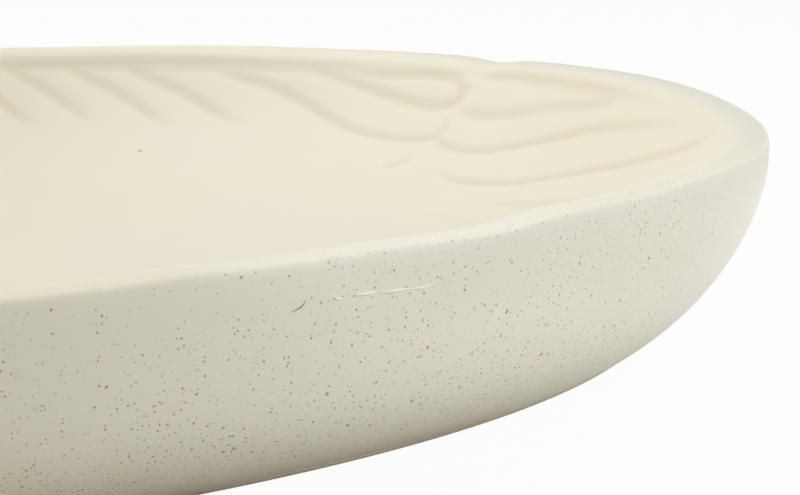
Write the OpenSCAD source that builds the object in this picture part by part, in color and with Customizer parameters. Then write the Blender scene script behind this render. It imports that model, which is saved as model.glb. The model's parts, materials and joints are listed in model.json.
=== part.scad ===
// Oval stoneware serving tray with a leaf relief pressed into its inner wall.
// One fired and glazed body stands on four glued rubber pads.
// The origin is on the table under the middle of the tray, with X along its length.
// The far side is +Y. The relief is the same after half a turn about Z.

/* [Tray outline] */
// Length over the rim
tray_length = 400; // [340:5:480]
// Width over the rim
tray_width = 250; // [210:5:320]
// Squareness of the oval: 2 is an ellipse, a larger number is squarer
oval_power = 2.29; // [2:0.01:2.8]

/* [Dish] */
// Depth of the well, from the crest of the rim to the flat floor
well_depth = 24; // [16:1:40]
// Thickness of the floor
floor_thickness = 8; // [6:0.5:14]
// Width of the sloping inner wall, from the rim groove to the flat floor
slope_run = 51.5; // [40:0.5:60]
// Curve of the inner wall: 1 is straight, a larger number is steeper at the top
slope_power = 2.4; // [1.5:0.1:3]

/* [Rim and outer wall] */
// Width of the rounded rim
rim_width = 10; // [7:0.5:14]
// Height of the rim's crest above the groove inside it
rim_roll = 3.7; // [2:0.1:5]
// Distance from the rim's outer edge to its crest
crest_inset = 4; // [2:0.5:6]
// Squareness of the rim inside its crest: 2 is round, a larger number has a flatter top
rim_power = 2.4; // [2:0.1:4]
// Squareness of the lip outside the crest: a larger number has a crisper edge
lip_power = 6; // [2:0.5:10]
// Width of the flat groove between the rim and the inner wall
rim_groove = 1; // [0.6:0.1:4]
// How far the outer wall is drawn in just under the rim
waist = 0.6; // [0:0.1:1.5]
// How far the outer wall tucks in from the rim down to the foot along the sides
base_inset = 18; // [8:1:28]
// Curve of the belly along the sides: a larger number keeps the wall upright for longer
belly_power = 4.2; // [1.5:0.1:6]
// How much further the wall tucks in at the two ends
end_tuck = 3; // [0:0.5:6]
// Curve of the belly at the two ends
end_belly_power = 1.75; // [1.2:0.05:4]

/* [Foot and pads] */
// Width of the foot ring
foot_width = 9; // [6:0.5:14]
// Depth of the recess inside the foot ring
foot_recess = 4; // [2:0.5:6]
// Diameter of a pad
pad_diameter = 14; // [8:0.5:20]
// How far a pad stands below the foot ring
pad_proud = 1; // [0.5:0.1:2.5]
// Space between a pad and the foot ring
pad_clearance = 2.5; // [1:0.5:10]
// Bevel of a pad's lower edge
pad_bevel = 0.6; // [0.2:0.1:1]
// Place of a pad around the oval
pad_turn = 45; // [30:1:60]

/* [Leaf relief] */
// Width of a vein
vein_width = 5; // [3:0.5:7]
// Depth of a vein
vein_depth = 1.2; // [0.6:0.1:2]
// Radius of the veins that sweep round the end of the tray
end_vein_radius = 112; // [90:1:200]
// Radius of the veins that lean along the long wall
side_vein_radius = 300; // [150:5:600]
// Distance from the rim groove to the first vein along the midrib
vein_start = 2; // [1:0.5:4]
// Distance between the ends of two veins along the midrib
vein_step = 9; // [8:0.1:11]
// How far the long wall's veins sit nearer to the rim than the end wall's
vein_lag = 3; // [0:0.5:5]
// Place of the midrib's outer end around the rim
rib_turn = 26.5; // [22:0.5:30]
// Direction of the midrib in plan, counted from the length of the tray
rib_angle = 220; // [215:1:225]
// Angle by which each flank of the midrib spreads from its axis
rib_spread = 5; // [3:0.5:7]
// Width of the midrib at the rim
rib_width = 4; // [3:0.5:6]
// Height of the midrib
rib_height = 1; // [0.5:0.1:2]
// Width of the dent that the midrib leaves in the rim
notch_width = 14; // [8:0.5:18]
// Depth of that dent
notch_depth = 0.9; // [0.3:0.1:1.5]
// Length of a flute on the long wall
flute_length = 29; // [20:1:36]
// Slant of a flute, counted from the length of the tray
flute_angle = 50; // [45:1:60]
// Radius of a flute, which leaves the rim slanting and then turns inwards
flute_radius = 50; // [35:1:200]
// Turn from one flute to the next around the rim
flute_step = 4.1; // [3.8:0.1:9]

/* [Hidden] */
// Rim angles where the veins of the end wall and of the long wall run out
end_vein_turns = [10, 4.5, -8.5, -17, -28, -39];
side_vein_turns = [33, 46, 55];
// Rim angles of the first flute of the long wall and of the last
flute_first = 62.4;
flute_last = 125;

// Points around the oval, and rings on the inner slope, the rim and the outer wall
around = 72;
slope_rings = 7;
rim_rings = 3;
wall_rings = 6;
// How the outer wall's rings crowd towards the foot: 1 is even
ring_crowding = 0.6;
// Facets of a round form, and facets and segments of the relief
round_facets = 96;
cutter_facets = 6;
vein_segments = 5;
flute_segments = 3;
rib_segments = 5;
// Depth to which the midrib is rooted in the body
root_depth = 3;
// Slope of the recess's side, as run over rise
recess_draft = 0.3;
// Shares of its depth that a vein and a flute lose at the inner end: above 1 it runs out sooner
vein_fade = 0.3;
flute_fade = 1.3;

half_length = tray_length / 2;
half_width = tray_width / 2;
foot_z = pad_proud;
recess_z = foot_z + foot_recess;
floor_z = recess_z + floor_thickness;
crest_z = floor_z + well_depth;
groove_z = crest_z - rim_roll;
slope_inset = rim_width + rim_groove;
slope_height = groove_z - floor_z;
foot_inner_inset = base_inset + foot_width;
recess_inset = foot_inner_inset + recess_draft * foot_recess;
vein_ball = arc_radius(vein_width, vein_depth);
notch_ball = arc_radius(notch_width, notch_depth);
rib_length = vein_step * len(end_vein_turns);
pad_radius = pad_diameter / 2;
pad_inset = blend_inset(recess_inset, recess_inset + end_tuck, pad_turn) + pad_clearance + pad_radius;

// Radius of a round cut from its width and depth at the surface
function arc_radius(width, depth) = width * width / (8 * depth) + depth / 2;

// A point on the oval that lies an inset inside the rim, at a turn around it
function signed_power(v, power) = sign(v) * pow(abs(v), 2 / power);
function oval_point(turn, inset) =
    [
        (half_length - inset) * signed_power(cos(turn), oval_power),
        (half_width - inset) * signed_power(sin(turn), oval_power)
    ];

// The inset of the oval through a point, found by halving an interval
function oval_level(p, inset) =
    pow(abs(p[0]) / (half_length - inset), oval_power) + pow(abs(p[1]) / (half_width - inset), oval_power);
function inset_at(p, low = 0, high = half_width - 1, rounds = 18) =
    let (middle = (low + high) / 2)
    rounds == 0 ? middle
        : oval_level(p, middle) < 1 ? inset_at(p, middle, high, rounds - 1)
        : inset_at(p, low, middle, rounds - 1);

// Height of the inner wall and floor at an inset, and the steepness there
function slope_rest(inset) = 1 - min(1, max(0, (inset - slope_inset) / slope_run));
function slope_z(inset) = floor_z + slope_height * pow(slope_rest(inset), slope_power);
function slope_rate(inset) = slope_power * slope_height / slope_run * pow(slope_rest(inset), slope_power - 1);
function ahead(angle, reach) = reach * [cos(angle), sin(angle)];

// An inset between the one along the sides and the one at the ends, by the turn around the oval
function blend_inset(side, end, turn) = side + (end - side) * pow(cos(turn), 2);

// Section of the body as rows of side inset, end inset and height: slope, rim, lip, outer wall, foot
function belly_inset(share, base, power) = waist * (1 - share) + base * pow(share, power);
slope_section = [for (i = [slope_rings:-1:0])
    let (inset = slope_inset + slope_run * i / slope_rings) [inset, inset, slope_z(inset)]];
rim_section = [for (i = [rim_rings:-1:1])
    let (a = 90 * i / rim_rings)
    let (inset = crest_inset + (rim_width - crest_inset) * signed_power(sin(a), rim_power))
    [inset, inset, groove_z + rim_roll * signed_power(cos(a), rim_power)]];
lip_section = [for (i = [0:rim_rings])
    let (a = 90 * i / rim_rings)
    let (inset = crest_inset * (1 - signed_power(sin(a), lip_power)))
    [inset, inset, groove_z + rim_roll * signed_power(cos(a), lip_power)]];
wall_section = [for (i = [1:wall_rings])
    let (share = pow(i / wall_rings, ring_crowding))
    [
        belly_inset(share, base_inset, belly_power),
        belly_inset(share, base_inset + end_tuck, end_belly_power),
        groove_z - (groove_z - foot_z) * share
    ]];
foot_section = [
    [foot_inner_inset, foot_inner_inset + end_tuck, foot_z],
    [recess_inset, recess_inset + end_tuck, recess_z]
];
section = concat(slope_section, rim_section, lip_section, wall_section, foot_section);

module plain_body() {
    rings = len(section);
    points = concat(
        [for (ring = section, i = [0:around - 1])
            let (turn = 360 * i / around)
            concat(oval_point(turn, blend_inset(ring[0], ring[1], turn)), ring[2])],
        [[0, 0, floor_z], [0, 0, recess_z]]
    );
    sides = [for (r = [0:rings - 2], i = [0:around - 1], half = [0, 1])
        let (a = r * around + i, b = r * around + (i + 1) % around)
        half == 0 ? [a, b, a + around] : [b, b + around, a + around]];
    top_fan = [for (i = [0:around - 1]) [rings * around, (i + 1) % around, i]];
    under_fan = [for (i = [0:around - 1])
        rings * around * [1, 1, 1] + [1, i - around, (i + 1) % around - around]];
    polyhedron(points, concat(sides, top_fan, under_fan), convexity = 6);
}

// One ball of a vein's cutter, sunk into the surface under a point by a depth
module vein_cutter(p, depth) {
    inset = inset_at(p);
    rise = (vein_ball - depth) * sqrt(1 + pow(slope_rate(inset), 2));
    translate([p[0], p[1], slope_z(inset) + rise])
        sphere(vein_ball / cos(180 / cutter_facets), $fn = cutter_facets);
}

// A cut along an arc from one plan point to another, whose depth fades by a share at its inner end.
// A radius below zero bows the arc the other way.
module vein(inner, outer, radius, fade, segments) {
    chord = outer - inner;
    bow = norm(chord) / (4 * radius) * [-chord[1], chord[0]];
    function along(s) = inner + chord * s + 2 * s * (1 - s) * bow;
    function depth(s) = vein_depth * (1 - fade * pow(1 - s, 2));
    for (i = [0:segments - 1]) hull() {
        vein_cutter(along(i / segments), depth(i / segments));
        vein_cutter(along((i + 1) / segments), depth((i + 1) / segments));
    }
}

// Where the midrib starts, and the inset at which the veins meet the rim groove
rib_root = oval_point(rib_turn, rim_width);
vein_rim_inset = rim_width + rim_groove / 2;

module end_veins() {
    for (k = [0:len(end_vein_turns) - 1])
        vein(
            rib_root + ahead(rib_angle + rib_spread, vein_start + vein_step * k),
            oval_point(end_vein_turns[k], vein_rim_inset), end_vein_radius, vein_fade, vein_segments
        );
}

module side_veins() {
    for (k = [0:len(side_vein_turns) - 1])
        vein(
            rib_root + ahead(rib_angle - rib_spread, vein_start + max(0, vein_step * k - vein_lag)),
            oval_point(side_vein_turns[k], vein_rim_inset), side_vein_radius, vein_fade, vein_segments
        );
}

module flutes() {
    for (turn = [flute_first:flute_step:flute_last]) {
        outer = oval_point(turn, vein_rim_inset);
        vein(outer + ahead(-flute_angle, flute_length), outer, -flute_radius, flute_fade, flute_segments);
    }
}

// The dent in the rim where the midrib starts
module notch() {
    translate(concat(oval_point(rib_turn, crest_inset), crest_z - notch_depth + notch_ball))
        rotate([0, 90, rib_angle])
        cylinder(h = 2 * rim_width, r = notch_ball, center = true, $fn = round_facets);
}

// The midrib: a low ridge that widens and sinks into the floor at its inner end
module rib_rise(share) {
    p = rib_root + ahead(rib_angle, rib_length * share);
    width = rib_width + rib_length * share * sin(rib_spread);
    top = rib_height * (1 - share * share);
    translate(concat(p, slope_z(inset_at(p)) - root_depth))
        cylinder(h = root_depth + top, d1 = width + 2 * root_depth, d2 = width / 2, $fn = cutter_facets);
}

module midrib() {
    for (i = [0:rib_segments - 1]) hull() {
        rib_rise(i / rib_segments);
        rib_rise((i + 1) / rib_segments);
    }
}

module tray_body() color([0.92, 0.89, 0.81]) {
    difference() {
        union() {
            plain_body();
            for (turn = [0, 180]) rotate(turn) midrib();
        }
        for (turn = [0, 180]) rotate(turn) {
            end_veins();
            side_veins();
            flutes();
            notch();
        }
    }
}

// A pad: a disc glued into the recess, with a bevelled lower edge
module pad(side_x, side_y) color([0.78, 0.77, 0.74]) {
    place = oval_point(pad_turn, pad_inset);
    translate([side_x * place[0], side_y * place[1], 0]) rotate_extrude($fn = round_facets) polygon([
        [0, 0], [pad_radius - pad_bevel, 0], [pad_radius, pad_bevel], [pad_radius, recess_z], [0, recess_z]
    ]);
}

module pad_front_left() pad(-1, -1);
module pad_front_right() pad(1, -1);
module pad_rear_left() pad(-1, 1);
module pad_rear_right() pad(1, 1);

tray_body();
pad_front_left();
pad_front_right();
pad_rear_left();
pad_rear_right();
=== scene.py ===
# %% [markdown]
# # An oval stoneware tray with a leaf relief
#
# The real tray is one piece of clay. It is pressed in a mould, dried, dipped in a cream glaze and
# fired, and four soft pads are glued under it. This lesson loads the packed CAD model as a fixed
# frame, and then dresses it: a fine body with the pressed leaf, the glaze with its specks, the pads,
# and a plain studio around them. The tray's lengths are written in millimetres, the studio's in metres.

# %% Load the packed model and keep its box
import json
import math

import bpy
import numpy as np
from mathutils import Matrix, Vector

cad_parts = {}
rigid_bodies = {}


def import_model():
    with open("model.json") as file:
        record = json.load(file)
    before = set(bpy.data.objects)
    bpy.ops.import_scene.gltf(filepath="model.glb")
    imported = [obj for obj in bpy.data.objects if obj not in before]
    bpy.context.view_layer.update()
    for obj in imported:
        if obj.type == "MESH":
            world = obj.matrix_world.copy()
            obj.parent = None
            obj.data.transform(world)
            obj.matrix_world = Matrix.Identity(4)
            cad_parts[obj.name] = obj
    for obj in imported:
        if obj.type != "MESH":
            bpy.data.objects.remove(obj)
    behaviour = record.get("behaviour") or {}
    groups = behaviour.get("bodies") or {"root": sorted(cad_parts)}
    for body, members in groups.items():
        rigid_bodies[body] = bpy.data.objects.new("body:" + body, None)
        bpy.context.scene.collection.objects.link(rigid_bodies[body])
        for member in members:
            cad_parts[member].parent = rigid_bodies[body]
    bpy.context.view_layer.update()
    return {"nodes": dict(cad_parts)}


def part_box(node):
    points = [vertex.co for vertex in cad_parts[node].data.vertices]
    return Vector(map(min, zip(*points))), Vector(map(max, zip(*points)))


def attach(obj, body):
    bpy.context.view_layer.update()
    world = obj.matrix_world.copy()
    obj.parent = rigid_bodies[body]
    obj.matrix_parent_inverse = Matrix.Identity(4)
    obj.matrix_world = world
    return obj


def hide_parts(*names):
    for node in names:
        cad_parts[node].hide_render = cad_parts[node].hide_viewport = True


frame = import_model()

MM = 0.001
scene = bpy.context.scene
scene.view_settings.view_transform = "Standard"
print("CAD nodes:", sorted(frame["nodes"]))

# %% [markdown]
# ## The plan of the tray
#
# Seen from above the tray is an oval that is a little squarer than an ellipse. A mould maker would
# draw it with a template. Here it is a superellipse, as long and as wide as the box of the CAD solid. An
# inset is how far a point lies inside the rim's edge, and a turn is its angle around the oval.

# %% The oval
tray_low, tray_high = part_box("tray_body")
half_length = (tray_high[0] - tray_low[0]) / 2 / MM
half_width = (tray_high[1] - tray_low[1]) / 2 / MM
crest_z = tray_high[2] / MM
foot_z = tray_low[2] / MM
oval_power = 2.29


def signed_power(value, power):
    return np.sign(value) * np.abs(value) ** (2 / power)


def oval_points(turn, inset):
    """Plan points in mm, for turns in degrees and insets in mm."""
    angle = np.radians(turn)
    x = (half_length - inset) * signed_power(np.cos(angle), oval_power)
    y = (half_width - inset) * signed_power(np.sin(angle), oval_power)
    return np.stack(np.broadcast_arrays(x, y), axis=-1)


print("oval: %.1f x %.1f mm, crest at %.1f mm" % (2 * half_length, 2 * half_width, crest_z))

# %% [markdown]
# Points that are evenly spread by angle crowd together at the flat sides of a superellipse. The
# relief needs even detail, so the turns are chosen by length: the rim is measured with a fine
# polyline, and that length is cut into equal steps.

# %% Even steps around the rim
around = 672
fine_turns = np.linspace(0, 360, 20001)
fine_rim = oval_points(fine_turns, 0.0)
rim_lengths = np.concatenate([[0], np.cumsum(np.linalg.norm(np.diff(fine_rim, axis=0), axis=1))])
rim_length = rim_lengths[-1]
turns = np.interp(np.arange(around) * rim_length / around, rim_lengths, fine_turns)
print("rim: %.0f mm around, a step of %.2f mm" % (rim_length, rim_length / around))

# %% [markdown]
# ## The section of the body
#
# Cut the tray across and the section runs from the flat floor up the hollow inner wall, over the
# thick rounded rim, down the outer wall, round the belly to the foot ring, and into the recess under
# the floor. It could be drawn as a curve and swept along the oval. Writing it as pairs of inset and
# height keeps it tied to the CAD sizes, and lets every ring follow the oval exactly.

# %% Points of the section
floor_z = 13.0
recess_z = 5.0
rim_width = 10.0
rim_roll = 3.7
rim_power = 2.4
rim_groove = 1.0
rim_points = 40
crest_inset = 4.0
lip_power = 6.0
lip_inset = 0.5
slope_run = 51.5
slope_power = 2.4
floor_inset = 95.0
groove_z = crest_z - rim_roll
slope_inset = rim_width + rim_groove


def slope_height(inset):
    rest = 1 - np.clip((inset - slope_inset) / slope_run, 0, 1)
    return floor_z + (groove_z - floor_z) * rest ** slope_power


def rim_section():
    """The rim from its groove over the crest to the outer edge: soft inside, crisp outside."""
    inner = np.radians(np.linspace(90, 0, rim_points))
    outer = np.radians(np.linspace(0, 90, rim_points))[1:]
    insets = np.concatenate([
        crest_inset + (rim_width - crest_inset) * signed_power(np.sin(inner), rim_power),
        crest_inset - (crest_inset - lip_inset) * signed_power(np.sin(outer), lip_power),
    ])
    heights = np.concatenate([
        signed_power(np.cos(inner), rim_power),
        signed_power(np.cos(outer), lip_power),
    ])
    return insets, groove_z + rim_roll * heights


print("groove at %.1f mm, crest %.1f mm inside the edge" % (groove_z, crest_inset))

# %% [markdown]
# The outer wall stands upright along the sides and rounds in close to the foot. At the two ends it
# leans in all the way down. So the wall has two insets at each height, one for the sides and one for
# the ends, and a point between takes its share of both.

# %% The outer wall and the foot
waist = 0.5
base_inset = 18.0
belly_power = 4.2
end_tuck = 3.0
end_belly_power = 1.75
foot_width = 9.0
foot_draft = 1.2
foot_edge = 0.5
recess_run = 10.0
slope_points = 160
wall_points = 120


def wall_insets(share):
    """Insets of the outer wall at the sides and at the ends, for a share of its height from the top."""
    drawn_in = waist * (1 - share)
    side = drawn_in + base_inset * share ** belly_power
    end = drawn_in + (base_inset + end_tuck) * share ** end_belly_power
    return side, end


def wall_height(share):
    return groove_z - (groove_z - foot_z) * share


def section_points():
    """Rows of side inset, end inset and height, from the floor to the recess."""
    slope = np.linspace(floor_inset, slope_inset, slope_points)
    rim_inset, rim_z = rim_section()
    share = np.linspace(0, 1 - foot_edge / (groove_z - foot_z), wall_points)[1:]
    side, end = wall_insets(share)
    recess_edge = foot_width + foot_draft
    foot = base_inset + np.array([foot_width, recess_edge, recess_edge + recess_run])
    return np.concatenate([
        np.stack([slope, slope, slope_height(slope)], axis=1),
        np.stack([rim_inset, rim_inset, rim_z], axis=1),
        np.stack([side, end, wall_height(share)], axis=1),
        [[side[-1], end[-1], foot_z]],
        np.stack([foot, foot + end_tuck, [foot_z, recess_z, recess_z]], axis=1),
    ])


rough_section = section_points()
print("section: %d points before softening" % len(rough_section))

# %% [markdown]
# Glaze runs into every corner and rounds every edge of the clay. Sharp corners would look machined,
# so the section is walked in short even steps and blurred along its own length, as wet glaze does. It
# is blurred more inside than outside, where the lip and the foot are crisper.

# %% Soften the section
walk_step = 0.2
crest_blur = 0.4
inner_blur = 1.0
outer_blur = 0.3
blur_change = 1.5


def measure(points):
    legs = np.diff(points[:, [0, 2]], axis=0)
    return np.concatenate([[0], np.cumsum(np.linalg.norm(legs, axis=1))])


def walk(points):
    lengths = measure(points)
    places = np.arange(0, lengths[-1], walk_step)
    return np.stack([np.interp(places, lengths, points[:, k]) for k in range(3)], axis=1)


def blur(points, reach):
    half = int(4 * reach / walk_step)
    weights = np.exp(-0.5 * (np.arange(-half, half + 1) * walk_step / reach) ** 2)
    weights /= weights.sum()
    before = 2 * points[0] - points[half:0:-1]
    behind = 2 * points[-1] - points[-2:-half - 2:-1]
    padded = np.concatenate([before, points, behind])
    return np.stack([np.convolve(padded[:, k], weights, "valid") for k in range(3)], axis=1)


walked = walk(rough_section)
crest_at = int(np.argmax(blur(walked, crest_blur)[:, 2]))
past_crest = np.clip((np.arange(len(walked)) - crest_at) * walk_step / blur_change, 0, 1)[:, None]
soft_section = blur(walked, inner_blur) * (1 - past_crest) + blur(walked, outer_blur) * past_crest
print("softened section: %d steps of %.1f mm" % (len(soft_section), walk_step))

# %% [markdown]
# The body will be a stack of rings. An even spacing would waste faces on the plain floor and the wall,
# so the rings lie close together where the relief is and where the section bends, and wide apart
# elsewhere.

# %% Place the rings
relief_inset = 68.0
relief_spacing = 0.95
plain_spacing = 2.6
bend_rings = 3.0
heading = np.unwrap(np.arctan2(*np.gradient(soft_section[:, [0, 2]], axis=0).T))
bend_rate = np.abs(np.gradient(heading)) / walk_step
index = np.arange(len(soft_section))
relief_zone = (index < crest_at) & (soft_section[:, 0] < relief_inset)
ring_density = np.where(relief_zone, 1 / relief_spacing, 1 / plain_spacing) + bend_rings * bend_rate
ring_count_at = np.concatenate([[0], np.cumsum(ring_density[:-1] * walk_step)])
ring_total = int(ring_count_at[-1])
ring_places = np.interp(np.linspace(0, ring_count_at[-1], ring_total), ring_count_at, index)
ring_side, ring_end, ring_z = [np.interp(ring_places, index, soft_section[:, k]) for k in range(3)]
crest_ring = int(np.argmax(ring_z))
print("rings: %d, with the crest at ring %d and %.2f mm" % (ring_total, crest_ring, ring_z[crest_ring]))

# %% [markdown]
# ## The leaf relief
#
# A leaf is pressed into the inner wall. Its midrib starts in a dent of the rim, and soft grooves part
# the lobes on both sides: long ones sweep round the end of the tray, shorter ones lean along the long
# wall and turn into slanted flutes. The relief could be sculpted by hand. Here each groove is a stroke
# through a few plan points, as one would draw it, and the whole leaf repeats after half a turn.

# %% Strokes through plan points
points_per_leg = 8


def stroke(points):
    """A smooth path through a few points."""
    points = np.asarray(points, dtype=float)
    padded = np.concatenate([[2 * points[0] - points[1]], points, [2 * points[-1] - points[-2]]])
    t = np.linspace(0, 1, points_per_leg, endpoint=False)[:, None]
    legs = []
    for a, b, c, d in zip(padded, padded[1:], padded[2:], padded[3:]):
        bend = 2 * a - 5 * b + 4 * c - d + (3 * b - a - 3 * c + d) * t
        legs.append(b + 0.5 * t * (c - a + t * bend))
    return np.concatenate(legs + [points[-1:]])


def vein(points, fade_in, fade_out, strength):
    """A stroke, the shares of its length over which it fades in and out, and its strength."""
    return stroke(points), fade_in, fade_out, strength


print("a stroke through 3 points has %d" % len(stroke([(0, 0), (1, 1), (2, 0)])))

# %% [markdown]
# A groove has a strength, and it may run out softly at either end. The first list starts with two lines
# along the foot of the rim, one to each side of the dent, and goes on with the lobes that sweep round
# the end. The second holds the lobes on the other side of the midrib: two of them are closed by a round
# curl, and a stub marks the next one.

# %% Lobes on both sides of the midrib
rim_foot_inset = 9.8
step_turns = np.linspace(33, 150, 24)
step_insets = np.interp(step_turns, (36, 60), (11.4, 10.6))
veins = [
    vein(oval_points(np.linspace(25.5, -4, 7), rim_foot_inset), 0.05, 0.45, 1.0),
    vein(oval_points(step_turns, step_insets), 0.08, 0.03, 0.7),
    vein([(166.1, 50.6), (169.7, 44.0), (175.5, 37.2), (181.5, 28.7), (188.6, 13.0)], 0.1, 0.05, 0.75),
    vein([(158.6, 46.2), (161, 40.1), (166.5, 32.6), (176.3, 22.0), (183.8, 7.7), (188.8, -22.6)],
         0.06, 0.2, 1.0),
    vein([(153.6, 37.4), (156.1, 26.9), (162.4, 16.2), (172.4, 2.2), (180, -15), (183.3, -37.7)],
         0.25, 0.05, 1.0),
    vein([(148, 23.7), (151.6, 11.8), (160.1, -0.4), (167.7, -15.6), (173, -32), (176, -52)],
         0.5, 0.15, 0.6),
    vein([(142, 13), (146, -1), (153, -14), (160, -30), (164.5, -47), (165, -66)], 0.5, 0.15, 0.6),
]
veins += [
    vein([(145.0, 81.4), (149.5, 77.3), (156.5, 71.2), (161.9, 66.8), (166.0, 62.7), (168.6, 59.0),
          (168.7, 55.2), (166.2, 53.7), (164.9, 54.0)], 0.3, 0.0, 1.2),
    vein([(164.9, 54.0), (161.2, 57.5), (156.1, 64.3), (149.1, 73.6), (142.7, 81.4), (136, 87.5)],
         0.0, 0.2, 0.95),
    vein([(162.6, 51.6), (161, 48.6), (159.2, 47.1)], 0.5, 0.0, 0.7),
    vein([(159.2, 47.1), (152.3, 53.1), (144.4, 62.6), (135.4, 78), (127.9, 86.9), (116, 96.4)],
         0.0, 0.15, 1.0),
    vein([(145.2, 44.9), (149.5, 43.2), (153.6, 44.2)], 0.1, 0.7, 0.75),
]
print("strokes of the lobes: %d" % len(veins))

# %% [markdown]
# The flutes of the long wall leave the rim at a slant and turn inwards. The first one is the longest,
# the gaps between the first three are a little wider, and from the third on they are alike.

# %% Flutes of the long wall
flute_count = 16
first_flute = 62.4
flute_step = 4.1
wider_step = 0.45
flute_angle = -49.0
flute_bow = 0.05
longest_flute = 38.0
shortest_flute = 29.0
flute_shrink = 4.5


def ahead(angle, reach):
    return reach * np.array([math.cos(math.radians(angle)), math.sin(math.radians(angle))])


for k in range(flute_count):
    flute_top = oval_points(first_flute + flute_step * k + wider_step * min(k, 2), rim_foot_inset)
    flute_reach = max(shortest_flute, longest_flute - flute_shrink * k)
    flute_tail = flute_top + ahead(flute_angle, flute_reach)
    flute_bend = (flute_top + flute_tail) / 2 + ahead(flute_angle + 90, flute_bow * flute_reach)
    veins.append(vein([flute_tail, flute_bend, flute_top], 0.35, 0.1, 1.0))
print("strokes on each half: %d" % len(veins))

# %% [markdown]
# Each groove is soft: deepest on its line and fading to nothing at its edge. Where two grooves meet,
# a plain maximum leaves a crease, so their depths are joined by a high power, which melts them
# together as glaze would.

# %% Depth of the grooves at any plan point
vein_reach = 2.2
pillow_reach = 6.5
melt_power = 4
fade_margin = 0.02


def along_curve(points, path):
    """Distance of each plan point to a path, and the share of the path where it is nearest."""
    best = np.full(len(points), np.inf)
    share = np.zeros(len(points))
    for k in range(len(path) - 1):
        leg = path[k + 1] - path[k]
        t = np.clip((points - path[k]) @ leg / (leg @ leg), 0, 1)
        distance = np.linalg.norm(points - path[k] - t[:, None] * leg, axis=1)
        nearer = distance < best
        best[nearer] = distance[nearer]
        share[nearer] = (k + t[nearer]) / (len(path) - 1)
    return best, share


def soft_profile(distance, reach):
    return np.clip(1 - (distance / reach) ** 2, 0, 1) ** 2


def ease(value):
    value = np.clip(value, 0, 1)
    return value * value * (3 - 2 * value)


def groove_lines(points):
    """Two shares at each plan point: of a groove's narrow line, and of the wide dip around it."""
    line = np.zeros(len(points))
    dip = np.zeros(len(points))
    for path, fade_in, fade_out, strength in veins:
        low, high = path.min(axis=0) - pillow_reach, path.max(axis=0) + pillow_reach
        near = np.all((points > low) & (points < high), axis=1)
        distance, share = along_curve(points[near], path)
        starting = ease((share + fade_margin) / (fade_in + fade_margin))
        ending = ease((1 + fade_margin - share) / (fade_out + fade_margin))
        depth = strength * starting * ending
        line[near] += (depth * soft_profile(distance, vein_reach)) ** melt_power
        dip[near] += (depth * soft_profile(distance, pillow_reach)) ** melt_power
    return line ** (1 / melt_power), dip ** (1 / melt_power)


print("strongest on the third stroke: %.2f" % groove_lines(veins[2][0])[0].max())

# %% [markdown]
# The midrib is a low swell between the lobes. It rises just inside the dent of the rim and sinks away
# down the slope.

# %% Rise of the midrib
rib_turn = 26.5
rib_angle = 220.0
rib_length = 54.0
rib_width = 4.0
rib_height = 0.45
rib_start = 0.12
rib_root = oval_points(rib_turn, rim_width)


def rib_rise(points):
    path = np.stack([rib_root, rib_root + ahead(rib_angle, rib_length)])
    distance, share = along_curve(points, path)
    return rib_height * ease(share / rib_start) * (1 - share ** 2) * soft_profile(distance, rib_width)


print("midrib starts at", rib_root.round(1))

# %% [markdown]
# ## The fine body
#
# A grid of rings and steps makes the body: rings run along the section, steps run around the oval.
# A subdivided cage would smooth the relief away, so the grid is fine enough to hold it by itself. The
# hand that pressed and dipped the tray leaves small swells in the rim and the wall. They are sums of
# slow waves, and of single swells: each has a turn, a rise and a reach along the rim in mm. First come
# the dents at the midribs, then four wide swells, and then the rises and small dips of the near lip.

# %% Small swells of the rim and the wall
swell_rim = 0.15
swell_wall = 0.15
rim_phase = 0.4
wall_phase = 1.9
notch_depth = 0.9
notch_reach = 6.0
swells = [(rib_turn, -notch_depth, notch_reach), (rib_turn + 180, -notch_depth, notch_reach)]
swells += [(56, 0.5, 34), (2, 0.85, 38), (236, 0.5, 34), (182, 0.85, 38)]
swells += [(286.8, 0.4, 8), (293.3, 0.45, 10), (307, 0.5, 12), (319, 0.85, 28)]
swells += [(291.7, -0.3, 1.8), (293.6, -0.35, 1.8), (301.4, -0.25, 6)]


def slow_waves(turn, phase):
    angle = np.radians(turn)
    waves = 0.5 * np.sin(5 * angle + phase) + 0.3 * np.sin(11 * angle + 2.1 * phase)
    return waves + 0.2 * np.sin(19 * angle + 3.7 * phase)


def rim_bell(turn, reach):
    """One at a turn, fading along the rim within a reach in mm."""
    places = np.interp(turns, fine_turns, rim_lengths)
    away = np.abs(places - np.interp(turn, fine_turns, rim_lengths))
    return np.exp(-((np.minimum(away, rim_length - away) / reach) ** 2))


rim_rise = swell_rim * slow_waves(turns, rim_phase)
for turn, rise, reach in swells:
    rim_rise = rim_rise + rise * rim_bell(turn, reach)
print("rim swells from %.2f to %.2f mm" % (rim_rise.min(), rim_rise.max()))

# %% [markdown]
# Now each ring takes its place in space. Its inset goes over from that of the sides to that of the ends
# with the squared cosine of the turn. The swells of the rim reach down to its groove inside and fade
# out on the wall outside, and those of the wall set in under the lip.

# %% Rings of the body
swell_fade = 6.0
wall_start = 2.0
wall_run = 8.0
foot_margin = 1.0
is_outer = np.arange(ring_total) > crest_ring


def wall_part(z):
    """How far the swells of the wall have set in at a height."""
    return np.clip((groove_z + wall_start - z) / wall_run, 0, 1)


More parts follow.
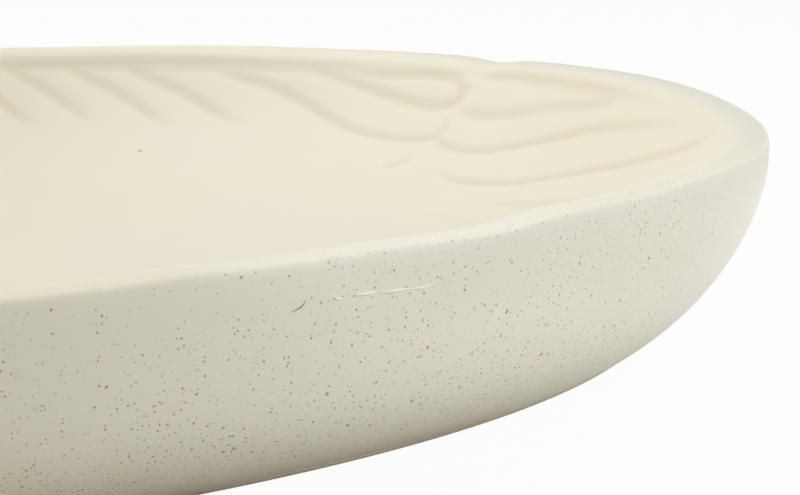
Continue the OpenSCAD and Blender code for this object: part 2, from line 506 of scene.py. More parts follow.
rim_share = np.clip((ring_z - (groove_z - swell_fade)) / swell_fade, 0, 1) * (ring_side < slope_inset)
wall_share = np.where(is_outer, wall_part(ring_z), 0) * (ring_z > foot_z + foot_margin)
end_share = np.cos(np.radians(turns)) ** 2
inset_grid = ring_side[:, None] + np.outer(ring_end - ring_side, end_share)
inset_grid += swell_wall * np.outer(wall_share, slow_waves(turns, wall_phase))
body_points = np.empty((ring_total, around, 3))
body_points[:, :, :2] = oval_points(turns[None, :], inset_grid)
body_points[:, :, 2] = ring_z[:, None] + np.outer(rim_share, rim_rise)
print("grid: %d rings of %d points" % body_points.shape[:2])

# %% [markdown]
# Along the sides the rim has a step inside. Glaze fills it at the two ends, at the dents and, less and
# less, on the way from a dent to the long side. There the section is drawn up to one smooth fall, which
# leaves the crest level and meets the slope at its own tilt.

# %% Fill the step at the ends
fill_inset = 22.0
dent_amount = 0.8
dent_reach = 10.0
side_amount = 0.85


def at_end(turn, full_before, none_before, full_after, none_after):
    """One near the ends of the oval and zero along its sides, for turns on both sides of the ends."""
    local = (turn + 90) % 180 - 90
    after = ease((none_after - local) / (none_after - full_after))
    before = ease((local + none_before) / (none_before - full_before))
    return np.minimum(after, before)


inside = np.arange(ring_total) < crest_ring
in_step = inside & (ring_side < fill_inset)
inner_insets = ring_side[inside][::-1]
inner_heights = ring_z[inside][::-1]
low_z = np.interp(fill_inset, inner_insets, inner_heights)
tilt = low_z - np.interp(fill_inset - 1, inner_insets, inner_heights)
fill_run = fill_inset - crest_inset
along = np.clip((ring_side[in_step] - crest_inset) / fill_run, 0, 1)
filled_z = ring_z[crest_ring] + (low_z - ring_z[crest_ring]) * ease(along)
filled_z += tilt * fill_run * (along ** 3 - along ** 2)
end_fill = at_end(turns, full_before=14, none_before=34, full_after=8, none_after=25)
dent_fill = dent_amount * (rim_bell(rib_turn, dent_reach) + rim_bell(rib_turn + 180, dent_reach))
side_fill = side_amount * at_end(turns, full_before=14, none_before=34, full_after=32, none_after=66)
fill_share = np.maximum.reduce([end_fill, dent_fill, side_fill])
body_points[in_step, :, 2] += np.outer(filled_z - ring_z[in_step], fill_share)
print("step filled by up to %.2f mm" % (filled_z - ring_z[in_step]).max())

# %% [markdown]
# The leaf is pressed in last. The relief of the other half is found by asking at the point half a turn
# away. Towards the crest it fades out, so the rim stays whole. The narrow lines are kept as well: they
# tell the glaze where it gathered, and they also paint shade into the grooves.

# %% Press the leaf into the inner wall
vein_depth = 0.5
pillow_depth = 0.3
relief_edge = 7.5
relief_fade = 2.5
plan = body_points[inside][:, :, :2].reshape(-1, 2)
edge_fade = ease((ring_side[inside] - relief_edge) / relief_fade)[:, None]
halves = zip(groove_lines(plan), groove_lines(-plan))
line_share, dip_share = [np.maximum(*pair).reshape(-1, around) * edge_fade for pair in halves]
depth_in = vein_depth * line_share + pillow_depth * dip_share
rise_in = (rib_rise(plan) + rib_rise(-plan)).reshape(-1, around) * edge_fade
body_points[inside, :, 2] += rise_in - depth_in
# The groove lines are kept for the glaze: darker where it gathered, and painted shade in the grooves.
pool_and_shade = np.zeros((ring_total, around))
pool_and_shade[inside] = np.clip(line_share, 0, 1)
print("deepest groove: %.2f mm, highest midrib: %.2f mm" % (depth_in.max(), rise_in.max()))

# %% [markdown]
# The grid is closed by shrinking rings and a fan of triangles, both in the floor and in the recess. The
# corners of each face are listed so that its front looks out of the clay.

# %% Close the grid
def shrunk(ring, shares):
    """Copies of a ring, drawn in towards the middle at the same heights."""
    return ring[None] * np.stack([shares, shares, np.ones_like(shares)], axis=1)[:, None]


floor_rings = shrunk(body_points[0], np.array([0.12, 0.3, 0.55, 0.8]))
under_rings = shrunk(body_points[-1], np.array([0.75, 0.45, 0.2]))
all_rings = np.concatenate([floor_rings, body_points, under_rings])
centres = np.array([[0, 0, body_points[0, :, 2].mean()], [0, 0, body_points[-1, :, 2].mean()]])
coordinates = np.concatenate([all_rings.reshape(-1, 3), centres]) * MM
columns = np.arange(around)
next_columns = (columns + 1) % around
first_ring = np.stack([columns, columns + around, next_columns + around, next_columns], axis=1)
quads = np.concatenate([first_ring + ring * around for ring in range(len(all_rings) - 1)])
floor_centre = np.full(around, len(all_rings) * around)
under_centre = floor_centre + 1
floor_fan = np.stack([floor_centre, columns, next_columns], axis=1)
last_ring = (len(all_rings) - 1) * around
under_fan = np.stack([under_centre, last_ring + next_columns, last_ring + columns], axis=1)
print("faces: %d" % (len(quads) + 2 * around))

# %% [markdown]
# The mesh becomes the piece that stands for the CAD body. It takes that solid's place and rides on root,
# the only body of a tray without joints. The glaze goes on it further down.

# %% The body as an object
tray_mesh = bpy.data.meshes.new("stoneware_body")
tray_faces = quads.tolist() + floor_fan.tolist() + under_fan.tolist()
tray_mesh.from_pydata(coordinates.tolist(), [], tray_faces)
tray_mesh.shade_smooth()
tray = bpy.data.objects.new("stoneware_body", tray_mesh)
scene.collection.objects.link(tray)
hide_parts("tray_body")
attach(tray, "root")
print("body:", len(tray_mesh.vertices), "points")

# %% [markdown]
# Four numbers are stored at every point for the glaze: how far it is on the outer side, whether it was
# wiped bare, how deep it gathered in a groove, which also paints shade there, and how thin it ran, near
# the foot and over the edge of the lip, which also paints shade low on the wall and on the lip's corner.
# A material could guess these from heights alone, but the section knows them exactly.

# %% Numbers for the glaze
lip_run = 8.0
wiped_margin = 0.6
wiped_height = 0.7
wiped_fade = 0.3
foot_darkening_height = 8.0
foot_darkening_run = 7.0
edge_thin_and_shade = 0.2
edge_inset = 1.0
edge_drop = 0.9
edge_reach = 0.9


def store(name, ring_values, floor_value, under_value):
    """Keep a number at every point: along the body's rings, in the floor and in the recess."""
    floor_rows = np.full((len(floor_rings), around), floor_value)
    body_rows = np.broadcast_to(ring_values, (ring_total, around))
    under_rows = np.full((len(under_rings), around), under_value)
    rows = np.concatenate([floor_rows, body_rows, under_rows])
    values = np.concatenate([rows.ravel(), [floor_value, under_value]])
    layer = tray_mesh.attributes.new(name, "FLOAT", "POINT")
    layer.data.foreach_set("value", np.ascontiguousarray(values, dtype=np.float32))


rim_ring = 0.5 * np.clip((rim_width - ring_side) / (rim_width - crest_inset), 0, 1)
lip_ring = 0.5 + 0.5 * np.clip((crest_z - ring_z) / lip_run, 0, 1)
outer_ring = np.where(is_outer, lip_ring, rim_ring)
on_foot = is_outer & (ring_side < base_inset + foot_width + wiped_margin)
bare_ring = np.where(on_foot, np.clip((foot_z + wiped_height - ring_z) / wiped_fade, 0, 1), 0)
# The edge and foot numbers thin the glaze, and they also paint shade on the lit corner of the lip and low
# on the wall.
from_edge = np.hypot(ring_side - edge_inset, ring_z - crest_z + edge_drop)
edge_ring = edge_thin_and_shade * np.exp(-((from_edge / edge_reach) ** 2))
foot_ring = np.clip((foot_z + foot_darkening_height - ring_z) / foot_darkening_run, 0, 1)
thin_and_shade_ring = np.where(is_outer, np.maximum(edge_ring, foot_ring), 0)
store("outer_side", outer_ring[:, None], 0, 1)
store("bare_clay", bare_ring[:, None], 0, 0)
store("glaze_pool_and_shade", pool_and_shade, 0, 0)
store("thin_glaze_and_shade", thin_and_shade_ring[:, None], 0, 1)
print("deepest pool: %.2f, wiped rings: %d" % (pool_and_shade.max(), int((bare_ring > 0.5).sum())))

# %% [markdown]
# ## Shader maths in plain Python
#
# A glaze is built from many small sums, and a graph of boxes hides them. This class wraps one output
# of a node. Adding, subtracting, multiplying or dividing wrapped outputs adds the Math nodes, and one
# method makes any other node: its settings are set first, then its sockets get values or links.

# %% A small class that wraps a socket
class Wire:
    def __init__(self, tree, socket):
        self.tree = tree
        self.socket = socket

    def node(self, kind, settings=None, sockets=None, output=0):
        made = self.tree.nodes.new(kind)
        for name, value in (settings or {}).items():
            setattr(made, name, value)
        for name, value in (sockets or {}).items():
            if isinstance(value, Wire):
                self.tree.links.new(value.socket, made.inputs[name])
            else:
                made.inputs[name].default_value = value
        return Wire(self.tree, made.outputs[output]) if made.outputs else None

    def also(self, output):
        return Wire(self.tree, self.socket.node.outputs[output])

    def math(self, operation, first, second):
        return self.node("ShaderNodeMath", {"operation": operation}, {0: first, 1: second})

    def __add__(self, other):
        return self.math("ADD", self, other)

    def __radd__(self, other):
        return self.math("ADD", other, self)

    def __sub__(self, other):
        return self.math("SUBTRACT", self, other)

    def __rsub__(self, other):
        return self.math("SUBTRACT", other, self)

    def __mul__(self, other):
        return self.math("MULTIPLY", self, other)

    def __rmul__(self, other):
        return self.math("MULTIPLY", other, self)

    def __truediv__(self, other):
        return self.math("DIVIDE", self, other)


print("a wire can:", [name for name in vars(Wire) if not name.startswith("_")])

# %% [markdown]
# A few finishing helpers use the class: a colour written as it looks on a screen, a mix of two
# colours, smooth steps between two values or two lengths, a noise of a given size, and a new material
# that starts from the piece's own coordinates in metres and ends in a Principled shader.

# %% Helpers for materials
def colour(red, green, blue):
    shares = [value / 255 for value in (red, green, blue)]
    return tuple(s / 12.92 if s <= 0.04045 else ((s + 0.055) / 1.055) ** 2.4 for s in shares) + (1.0,)


def mixed(factor, first, second):
    return factor.node("ShaderNodeMix", {"data_type": "RGBA"}, {0: factor, 6: first, 7: second}, 2)


def smooth_step(value, low, high):
    return value.node(
        "ShaderNodeMapRange", {"interpolation_type": "SMOOTHSTEP"},
        {"Value": value, "From Min": low, "From Max": high},
    )


def between(length, low_mm, high_mm):
    return smooth_step(length, low_mm * MM, high_mm * MM)


def noise(place, size_mm, detail=2.0, roughness=0.5):
    return place.node(
        "ShaderNodeTexNoise", {},
        {"Vector": place, "Scale": 1 / (size_mm * MM), "Detail": detail, "Roughness": roughness},
    )


def new_material(name):
    material = bpy.data.materials.new(name)
    material.use_nodes = True
    material.node_tree.nodes.clear()
    tree = material.node_tree
    return material, Wire(tree, tree.nodes.new("ShaderNodeTexCoord").outputs["Object"])


def show(surface):
    surface.node("ShaderNodeOutputMaterial", {}, {"Surface": surface})


def coat(place, sockets):
    show(place.node("ShaderNodeBsdfPrincipled", {}, sockets))


print("cream as the renderer reads it: %.3f %.3f %.3f" % colour(237, 231, 211)[:3])

# %% [markdown]
# ## The specks
#
# Iron grains in the clay melt through the glaze of the outer wall as fine grey and red-brown specks.
# Inside, the glaze is thicker and hides them. A Voronoi texture gives each cell a random point and a
# random colour: one channel tells whether the cell is used, one its size, and one its tint. Bending
# the coordinates a little first makes the specks less round, and stretching them makes short streaks.

# %% One layer of specks
wander_size = 0.5
wander_reach = 0.3
soft_edge = 0.5


def in_metres(*lengths):
    return tuple(length * MM for length in lengths)


def speck_layer(place, spacing, smallest, largest, share, shift, stretch=1.0):
    """The mask of one layer of specks with lengths in mm, and a random number for the tint of each."""
    wander = place.node(
        "ShaderNodeVectorMath", {"operation": "SUBTRACT"},
        {0: noise(place, wander_size, 1.0).also("Color"), 1: (0.5, 0.5, 0.5)},
    )
    bent = place.node(
        "ShaderNodeVectorMath", {"operation": "MULTIPLY_ADD"},
        {0: wander, 1: in_metres(wander_reach, wander_reach, wander_reach), 2: place},
    )
    moved = place.node(
        "ShaderNodeVectorMath", {"operation": "MULTIPLY_ADD"},
        {0: bent, 1: (1.0, 1.0, 1 / stretch), 2: in_metres(*shift)},
    )
    cell = place.node(
        "ShaderNodeTexVoronoi", {"feature": "F1"},
        {"Vector": moved, "Scale": 1 / (spacing * MM)}, "Distance",
    )
    chance = place.node("ShaderNodeSeparateColor", {}, {"Color": cell.also("Color")}, "Red")
    size = chance.also("Green")
    radius = (smallest + (largest - smallest) * size * size) / spacing
    used = chance.math("LESS_THAN", chance, share)
    round_mask = smooth_step((radius - cell) / radius, 0.0, soft_edge)
    return round_mask * used, chance.also("Blue")


print("specks wander by up to %.2f mm" % (wander_reach / 2))

# %% [markdown]
# ## The cream glaze
#
# Inside, the glaze is a warm satin cream, a little deeper in colour where it gathered in the grooves,
# which also paints shade there. Outside it is greyer, glossier and speckled, and it runs thin and tan
# towards the foot, which was wiped bare; that tan also paints shade low on the wall. One material does
# all of this, steered by the numbers that the body carries, so the finish passes over the rim without a
# seam.

# %% Masks of the glaze
glaze, place = new_material("cream_glaze")


def carried(name):
    return place.node("ShaderNodeAttribute", {"attribute_name": name}, {}, "Fac")


outer_side = carried("outer_side")
pooled_and_shaded = carried("glaze_pool_and_shade")
thin_and_shade = carried("thin_glaze_and_shade")
cloud = noise(place, 45.0, 3.0)
mottle = noise(place, 6.0, 4.0)
grain = noise(place, 0.7, 2.0)
bare = smooth_step(carried("bare_clay") + 0.35 * (mottle - 0.5), 0.4, 0.6)
sideways = place.node("ShaderNodeSeparateXYZ", {}, {"Vector": place}, "X")
upwards = sideways.also("Z")
endways = sideways.math("ABSOLUTE", sideways, 0.0)
print("glaze: %d nodes for its masks" % len(glaze.node_tree.nodes))

# %% [markdown]
# The specks gather in loose patches. They are denser low on the wall, where a fine pepper joins them.
# Under the lip and towards the two tips of the oval the glaze is thicker, and they get rare. A few
# upright streaks lie between them. One stray dark grain sits inside, on the slope.

# %% Specks of the glaze
stray_spot = in_metres(96.2, 76.4, 16.5)
tip = between(endways, 125, 175)
thick_lip = between(upwards, 27, 34) * (1 - between(endways, 70, 120))
patchy = 0.6 + 0.5 * smooth_step(noise(place, 14.0, 2.0), 0.35, 0.65)
low_wall = 1 - between(upwards, 4, 22)
density = patchy * (1 - 0.9 * tip) * (1 - 0.7 * thick_lip) * (0.85 + 0.45 * low_wall)
speck_side = smooth_step(outer_side, 0.44, 0.56) * (1 - bare)
fine, fine_tint = speck_layer(
    place, spacing=0.68, smallest=0.1, largest=0.27, share=density * 0.95, shift=(13, 27, 41)
)
coarse, coarse_tint = speck_layer(
    place, spacing=1.9, smallest=0.18, largest=0.38, share=density * 0.42, shift=(31, 7, 19)
)
pepper_share = density * (0.25 + 0.5 * low_wall)
pepper, pepper_tint = speck_layer(
    place, spacing=0.5, smallest=0.08, largest=0.17, share=pepper_share, shift=(41, 19, 3)
)
streak, streak_tint = speck_layer(
    place, spacing=4.5, smallest=0.16, largest=0.3, share=density * 0.3, shift=(3, 47, 29), stretch=3.0
)
stray = place.node(
    "ShaderNodeVectorMath", {"operation": "DISTANCE"}, {0: place, 1: stray_spot}, "Value"
)
stray_grain = 1 - between(stray, 0.35, 1.05)
print("glaze: %d nodes with its specks" % len(glaze.node_tree.nodes))

# %% [markdown]
# The cream isn't one colour. Inside it is warmest in the middle. The rim carries a painted highlight, a
# light band on the way to the ends, and painted shade makes it greyer at the tips. Outside it goes from
# warm to grey towards the ends. There painted shade makes it greyer high on the wall, and painted bounce
# light makes it nearly white lower down; towards the ends the top of the wall has painted shade too. One
# soft mask after another mixes these tones, so each of them can be changed by itself.

# %% Cream of the inside and the outside
drift_reach = 100.0
drift = endways / (drift_reach * MM) + 0.8 * (cloud - 0.5)
inside_cream = mixed(smooth_step(drift, 0.2, 1.1), colour(238, 229, 203), colour(238, 232, 211))
# Painted highlight: a light band on the rim on the way to the ends.
lip_highlight = smooth_step(outer_side, 0.3, 0.5) * between(endways, 60, 85)
lip_highlight = lip_highlight * (1 - between(endways, 110, 140))
inside_cream = mixed(lip_highlight * 0.6, inside_cream, colour(250, 245, 230))
# Painted shade: the rim goes greyer at the tips.
tip_rim_shade = between(endways, 150, 190) * smooth_step(outer_side, 0.1, 0.45)
inside_cream = mixed(tip_rim_shade * 0.9, inside_cream, colour(222, 217, 203))
greyed = smooth_step(drift + 0.3 * (mottle - 0.5), 0.4, 1.0)
outside_cream = mixed(greyed, colour(234, 228, 208), colour(236, 231, 216))
# Painted light on the ends of the wall: shade high up, bounce light low down.
painted_bounce = 1 - between(upwards, 8, 30)
end_wall = between(endways, 100, 165)
end_cream = mixed(painted_bounce, colour(223, 218, 205), colour(243, 241, 233))
outside_cream = mixed(end_wall, outside_cream, end_cream)
# Painted shade on the top of the wall towards the ends.
upper_wall_shade = between(upwards, 22, 36) * between(endways, 80, 115)
outside_cream = mixed(upper_wall_shade * 0.5, outside_cream, colour(212, 207, 194))
cream = mixed(smooth_step(outer_side, 0.505, 0.55), inside_cream, outside_cream)
print("glaze: %d nodes with its cream" % len(glaze.node_tree.nodes))

# %% [markdown]
# Over the cream come the darker pools in the grooves, which are also painted shade, the tan of thin
# glaze, which is also painted shade low on the wall and on the lip's corner, and the layers of specks
# from the finest to the largest, each with its own strength by tint. Bare clay shows where the foot was
# wiped.

# %% Pools and thin glaze, both also painted shade, specks and bare clay
# Darker cream in the grooves: glaze that gathered there, and painted shade as well.
cream = mixed(pooled_and_shaded * 0.5, cream, colour(218, 207, 178))
# Tan of thin glaze, which is also painted shade low on the wall and on the lip's corner.
cream = mixed(smooth_step(thin_and_shade, 0.0, 1.0) * (1 - end_wall) * 0.5, cream, colour(186, 174, 146))
fine_colour = mixed(smooth_step(fine_tint, 0.6, 0.75), colour(122, 113, 93), colour(176, 124, 96))
coarse_colour = mixed(smooth_step(coarse_tint, 0.5, 0.6), colour(110, 101, 85), colour(182, 120, 92))
cream = mixed(pepper * speck_side * (0.4 + 0.4 * pepper_tint), cream, fine_colour)
cream = mixed(fine * speck_side * (0.4 + 0.4 * fine_tint), cream, fine_colour)
cream = mixed(coarse * speck_side * (0.5 + 0.4 * coarse_tint), cream, coarse_colour)
cream = mixed(streak * speck_side * (0.5 + 0.4 * streak_tint), cream, colour(186, 122, 96))
cream = mixed(stray_grain * 0.62, cream, colour(116, 108, 90))
clay = mixed(grain, colour(196, 184, 162), colour(214, 204, 184))
skin = mixed(bare, cream, clay)
print("glaze: %d nodes with its colour" % len(glaze.node_tree.nodes))

# %% [markdown]
# The inside is satin, the round of the rim a little glossier, and the outer wall the glossiest. Bare
# clay is matt. A very low bump lets the skin wave as dipped glaze does, and the larger specks sit in
# small pits.

# %% Gloss and small bumps of the glaze
rim_gloss = smooth_step(outer_side, 0.05, 0.3) * (1 - smooth_step(outer_side, 0.4, 0.5))
wall_gloss = smooth_step(outer_side, 0.6, 1.0)
rough = 0.55 - 0.16 * rim_gloss - 0.27 * wall_gloss + 0.02 * (mottle - 0.5) + bare * 0.45
height = 0.6 * mottle + 0.25 * grain * bare - 0.3 * coarse * speck_side
bumps = place.node("ShaderNodeBump", {}, {"Strength": 0.35, "Distance": 0.12 * MM, "Height": height})
coat(place, {"Base Color": skin, "Roughness": rough, "Normal": bumps, "IOR": 1.5})
tray_mesh.materials.append(glaze)
print("glaze: %d nodes in all" % len(glaze.node_tree.nodes))

# %% [markdown]
# ## The glaze run
#
# On the near side, just under the lip, a thin thread of glaze ran and froze as a glossy ridge with
# breaks in it, and beside it the glaze is creased. They could be bumps in the material, but a thread of
# real faces catches the light as the real one does. So they are small pieces of their own that lie on
# the wall: low ridges swept through a few places, each a turn and a height.

# %% Ridges on the wall
ridge_steps = 36
ridge_lanes = 7
ridge_sink = 0.03
least_width = 0.05


def wall_point(turn, z, proud):
    side, end = wall_insets((groove_z - z) / (groove_z - foot_z))
    swell = swell_wall * slow_waves(turn, wall_phase) * wall_part(z)
    inset = side + (end - side) * math.cos(math.radians(turn)) ** 2 + swell - proud
    return np.append(oval_points(turn, inset), z)


def ridge(places, width, proud):
    """Rows of points of a low ridge that follows the places, with its width and height in mm."""
    path = stroke(places)
    shares = np.linspace(0, 1, len(path))
    rows = []
    for t in np.linspace(0, 1, ridge_steps):
        turn, z = [np.interp(t, shares, path[:, k]) for k in (0, 1)]
        swell = math.sin(math.pi * t) ** 0.5
        for lane in np.linspace(-1, 1, ridge_lanes):
            lift = proud * swell * (1 - lane ** 2) - ridge_sink
            rows.append(wall_point(turn, z - lane * max(least_width, swell) * width / 2, lift))
    return np.array(rows)


def ridge_piece(name, ridges):
    first = np.arange(ridge_steps - 1)[:, None] * ridge_lanes + np.arange(ridge_lanes - 1)
    beyond = first + ridge_lanes
    corners = np.stack([first, first + 1, beyond + 1, beyond], axis=-1).reshape(-1, 4)
    faces = np.concatenate([corners + k * ridge_steps * ridge_lanes for k in range(len(ridges))])
    mesh = bpy.data.meshes.new(name)
    mesh.from_pydata((np.concatenate(ridges) * MM).tolist(), [], faces.tolist())
    mesh.shade_smooth()
    made = bpy.data.objects.new(name, mesh)
    scene.collection.objects.link(made)
    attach(made, "root")
    return made


print("a ridge has %d points" % (ridge_steps * ridge_lanes))

# %% [markdown]
# The run is four short threads in a row under the lip, and a fifth along the foot, a white thread that
# paints the light line there as a highlight. The crease is a single low fold that climbs towards the lip,
# a dark strip that paints its shade.

# %% The run and the crease
glaze_run = ridge_piece("glaze_run", [
    ridge([(-67.7, 31.95), (-67.5, 31.6), (-67.3, 31.4)], 0.4, 0.2),
    ridge([(-66.75, 31.72), (-66.3, 31.7), (-65.65, 31.68)], 0.55, 0.35),
    ridge([(-65.5, 31.42), (-64.87, 31.45), (-64.05, 31.38)], 0.6, 0.42),
    ridge([(-64.1, 31.34), (-63.33, 31.22), (-62.8, 31.48)], 0.36, 0.26),
    # The fifth thread is a painted highlight: the light line along the foot.
    ridge([(-70.9, 1.95), (-66.5, 1.9), (-62.0, 1.9), (-57.5, 1.95)], 0.3, 0.2),
])
# The crease is a dark strip of painted shade.
glaze_crease = ridge_piece("glaze_crease", [
    ridge([(-69.64, 30.68), (-69.2, 31.14), (-69.02, 31.6), (-68.89, 32.2)], 0.4, 0.08),
])
for piece in (glaze_run, glaze_crease):
    print("%s: %d faces" % (piece.name, len(piece.data.polygons)))

# %% [markdown]
# The run is thick glaze, much glossier than the wall, and whiter, which is also a painted highlight. The
# crease is painted shade: a fold coloured darker and greyer than the wall. Both are one finish with
# different tones.

# %% Finish of the run and the crease
def ridge_finish(name, mottle_size, first, second, gloss, bend):
    material, spot = new_material(name)
    tone = noise(spot, mottle_size, 2.0)
    coat(spot, {"Base Color": mixed(tone, first, second), "Roughness": gloss + 0.1 * tone, "IOR": bend})
    return material


# Whiter thick glaze, which is also a painted highlight.
bead_highlight = ridge_finish("glaze_bead_highlight", 1.2, colour(246, 241, 228), colour(251, 247, 236), 0.12, 1.55)
# Dark grey of painted shade in the fold.
fold_shade = ridge_finish("glaze_fold_shade", 0.6, colour(150, 143, 126), colour(186, 180, 164), 0.3, 1.5)
glaze_run.data.materials.append(bead_highlight)
glaze_crease.data.materials.append(fold_shade)
print("finishes:", bead_highlight.name, fold_shade.name)

# %% [markdown]
# ## The pads
#
# Four soft pads keep the rough foot off the table. Such a pad is a small moulded disc with a rounded
# lower edge and a shallow dish under it, stuck into the recess with glue. The section is turned about
# the pad's own axis, at the place of its CAD solid.

# %% Turn the four pads
pad_steps = 64
pad_soft = 0.9
pad_waist = 0.12
pad_shoulder = 0.5
pad_dish = [(0.0, 0.25), (0.45, 0.22), (0.7, 0.05)]


def pad_section(radius, low_z, high_z):
    """Pairs of radius and height, from the middle of the dish round the edge to the middle of the top."""
    dish = [(share * radius, low_z + rise) for share, rise in pad_dish]
    edge = np.radians(np.linspace(-90, 0, 9))
    outs = radius - pad_soft + pad_soft * np.cos(edge)
    ups = low_z + pad_soft + pad_soft * np.sin(edge)
    upper = [(radius - pad_waist, (low_z + high_z) / 2), (radius, high_z - pad_shoulder)]
    return dish + list(zip(outs, ups)) + upper + [(radius, high_z), (0.0, high_z)]


def turned(name, section, centre):
    points = []
    faces = []
    for k in range(pad_steps):
        angle = 2 * math.pi * k / pad_steps
        for radius, z in section[1:-1]:
            points.append((centre[0] + radius * math.cos(angle), centre[1] + radius * math.sin(angle), z))
    count = len(section) - 2
    bottom, top = len(points), len(points) + 1
    points += [(centre[0], centre[1], section[0][1]), (centre[0], centre[1], section[-1][1])]
    for k in range(pad_steps):
        here, there = k * count, (k + 1) % pad_steps * count
        faces.append((bottom, there, here))
        faces.append((top, here + count - 1, there + count - 1))
        faces += [(here + i, there + i, there + i + 1, here + i + 1) for i in range(count - 1)]
    mesh = bpy.data.meshes.new(name)
    mesh.from_pydata((np.array(points) * MM).tolist(), [], faces)
    mesh.shade_smooth()
    made = bpy.data.objects.new(name, mesh)
    scene.collection.objects.link(made)
    return made


pads = []
for node in ("pad_front_left", "pad_front_right", "pad_rear_left", "pad_rear_right"):
    low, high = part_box(node)
    pad_centre = [(low[k] + high[k]) / 2 / MM for k in (0, 1)]
    pad_radius = (high[0] - low[0]) / 2 / MM
    pad = turned(node + "_soft", pad_section(pad_radius, low[2] / MM, high[2] / MM), pad_centre)
    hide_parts(node)
    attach(pad, "root")
    pads.append(pad)
print("pads:", [pad.name for pad in pads])

# %% [markdown]
# The rubber is pale grey and matt. Dust makes its tone and its gloss uneven, and the mould leaves a
# fine tooth, which is a low bump.

# %% Rubber of the pads
rubber, pad_place = new_material("pad_rubber")
dust = noise(pad_place, 3.0, 4.0, 0.6)
tooth = noise(pad_place, 0.4, 2.0)
rubber_colour = mixed(smooth_step(dust, 0.4, 0.7), colour(196, 193, 185), colour(208, 205, 197))
rubber_rough = 0.55 + 0.2 * dust
bump_sockets = {"Strength": 0.3, "Distance": 0.05 * MM, "Height": tooth}
tooth_bump = pad_place.node("ShaderNodeBump", {}, bump_sockets)
rubber_sockets = {"Base Color": rubber_colour, "Roughness": rubber_rough, "Normal": tooth_bump}
coat(pad_place, {**rubber_sockets, "IOR": 1.45})
for pad in pads:
    pad.data.materials.append(rubber)
print("rubber: %d nodes" % len(rubber.node_tree.nodes))

# %% [markdown]
# ## The studio
#
# The picture was taken on white under soft light. The floor is a large plane. For the camera, most of
# it glows at a strength of one, which is white. The rest is plain paint, which keeps the tray's shadow.
# Mirror rays see it nearly white on the right and behind, and dimmer in front. For all other rays it is
# paint only, so it adds no light of its own.

# %% Floor
floor_reach = 4.0
camera_white = 0.965
mirror_front = 0.15
mirror_beside = 0.8
signs = [(-1, -1), (1, -1), (1, 1), (-1, 1)]
floor_mesh = bpy.data.meshes.new("floor")
floor_mesh.from_pydata([(x * floor_reach, y * floor_reach, 0) for x, y in signs], [], [(0, 1, 2, 3)])
floor = bpy.data.objects.new("floor", floor_mesh)
scene.collection.objects.link(floor)
paint, floor_place = new_material("floor_paint")
ray = floor_place.node("ShaderNodeLightPath", {}, {}, "Is Camera Ray")
mirror = ray.math("MAXIMUM", ray.also("Is Glossy Ray"), ray.also("Is Transmission Ray"))
floor_x = ray.node("ShaderNodeSeparateXYZ", {}, {"Vector": floor_place}, "X")
beside = smooth_step(floor_x + 0.5 * floor_x.also("Y"), 0.1, 0.25)
seen = camera_white * ray + (mirror_front + mirror_beside * beside) * mirror
dull = ray.node("ShaderNodeBsdfDiffuse", {}, {"Color": (0.64, 0.605, 0.51, 1)})
glow = ray.node("ShaderNodeEmission", {}, {"Color": (1, 1, 1, 1), "Strength": 1.0})
show(ray.node("ShaderNodeMixShader", {}, {0: seen, 1: dull, 2: glow}))
floor_mesh.materials.append(paint)
print("floor: %.0f m wide" % (2 * floor_reach))

# %% [markdown]
# The sky of the studio is an even pale light, as from a white tent. The camera sees it white, and
# towards the back it mirrors as white too.

# %% World
tent_strength = 0.08
world = bpy.data.worlds.new("tent")
scene.world = world
world.use_nodes = True
world.node_tree.nodes.clear()
sky_ray = Wire(world.node_tree, world.node_tree.nodes.new("ShaderNodeLightPath").outputs["Is Camera Ray"])
sky_mirror = sky_ray.math("MAXIMUM", sky_ray.also("Is Glossy Ray"), sky_ray.also("Is Transmission Ray"))
sky_side = sky_ray.node("ShaderNodeTexCoord", {}, {}, "Generated")
sky_back = smooth_step(sky_ray.node("ShaderNodeSeparateXYZ", {}, {"Vector": sky_side}, "Y"), 0.0, 0.6)
tent = sky_ray.node("ShaderNodeBackground", {}, {"Color": (1, 0.995, 0.985, 1), "Strength": tent_strength})
white = sky_ray.node("ShaderNodeBackground", {}, {"Color": (1, 1, 1, 1), "Strength": 1.0})
shown = sky_ray.math("MAXIMUM", sky_ray, sky_mirror * sky_back)
backdrop = sky_ray.node("ShaderNodeMixShader", {}, {0: shown, 1: tent, 2: white})
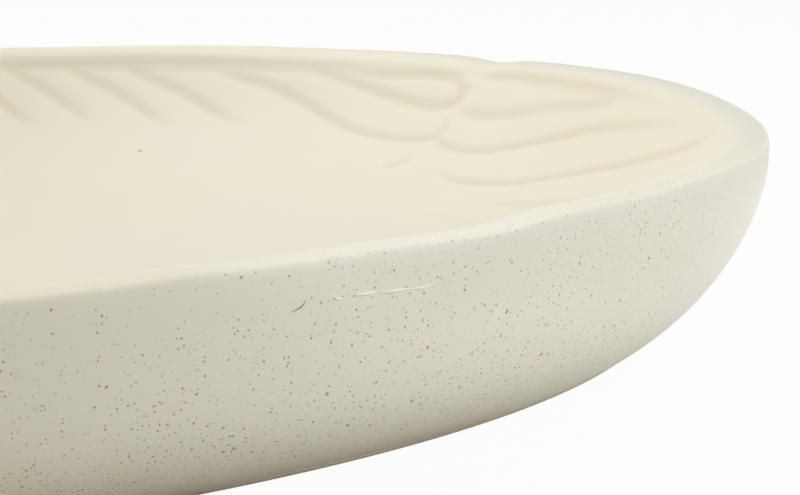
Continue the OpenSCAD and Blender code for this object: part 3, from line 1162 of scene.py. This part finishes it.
backdrop.node("ShaderNodeOutputWorld", {}, {"Surface": backdrop})
print("world:", world.name)

# %% [markdown]
# One lamp overhead and two far ones, on the left and behind, give the inside its brightness. A cooler
# one in front, and a low one on the right, lift the right end of the wall, as in the picture. Large
# soft lamps keep the shadows faint.

# %% Lamps
cool_light = (0.92, 0.96, 1.0)


def soft_lamp(name, place, target, width, depth, watts):
    lamp = bpy.data.lights.new(name, "AREA")
    lamp.shape = "RECTANGLE"
    lamp.size = width
    lamp.size_y = depth
    lamp.energy = watts
    made = bpy.data.objects.new(name, lamp)
    made.location = place
    made.rotation_euler = (Vector(target) - made.location).to_track_quat("-Z", "Y").to_euler()
    scene.collection.objects.link(made)
    return made


soft_lamp("top_lamp", (0.22, 0.12, 0.6), (0.12, 0.0, 0.0), 0.6, 0.5, 1.82)
soft_lamp("left_lamp", (-2.2, 0.0, 0.75), (0.1, 0.0, 0.02), 1.2, 0.8, 15.6)
soft_lamp("back_lamp", (-0.9, 0.9, 0.6), (0.1, 0.0, 0.02), 0.8, 0.6, 8.1)
front_lamp = soft_lamp("front_lamp", (0.55, -0.5, 0.35), (0.12, 0.0, 0.02), 0.4, 0.4, 3.3)
low_lamp = soft_lamp("low_lamp", (0.5, -0.25, 0.03), (0.17, -0.05, 0.02), 0.3, 0.05, 0.25)
front_lamp.data.color = cool_light
low_lamp.data.color = cool_light

# %% [markdown]
# ## The camera
#
# The picture was taken from close by, a little above the rim, and shows the right end of the tray from
# the front. The place and the lens were found by laying the rim's curve over the picture.

# %% Camera
look_down = 13.55
look_right = 18.74
camera_data = bpy.data.cameras.new("camera")
camera_data.lens = 81.0
camera_data.sensor_width = 36.0
camera_data.sensor_fit = "HORIZONTAL"
camera_data.clip_start = 0.01
camera = bpy.data.objects.new("camera", camera_data)
camera.location = (0.0208, -0.3345, 0.0934)
camera.rotation_euler = (math.radians(90 - look_down), 0, math.radians(-look_right))
scene.collection.objects.link(camera)
scene.camera = camera
print("camera at", [round(v, 4) for v in camera.location])

# %% [markdown]
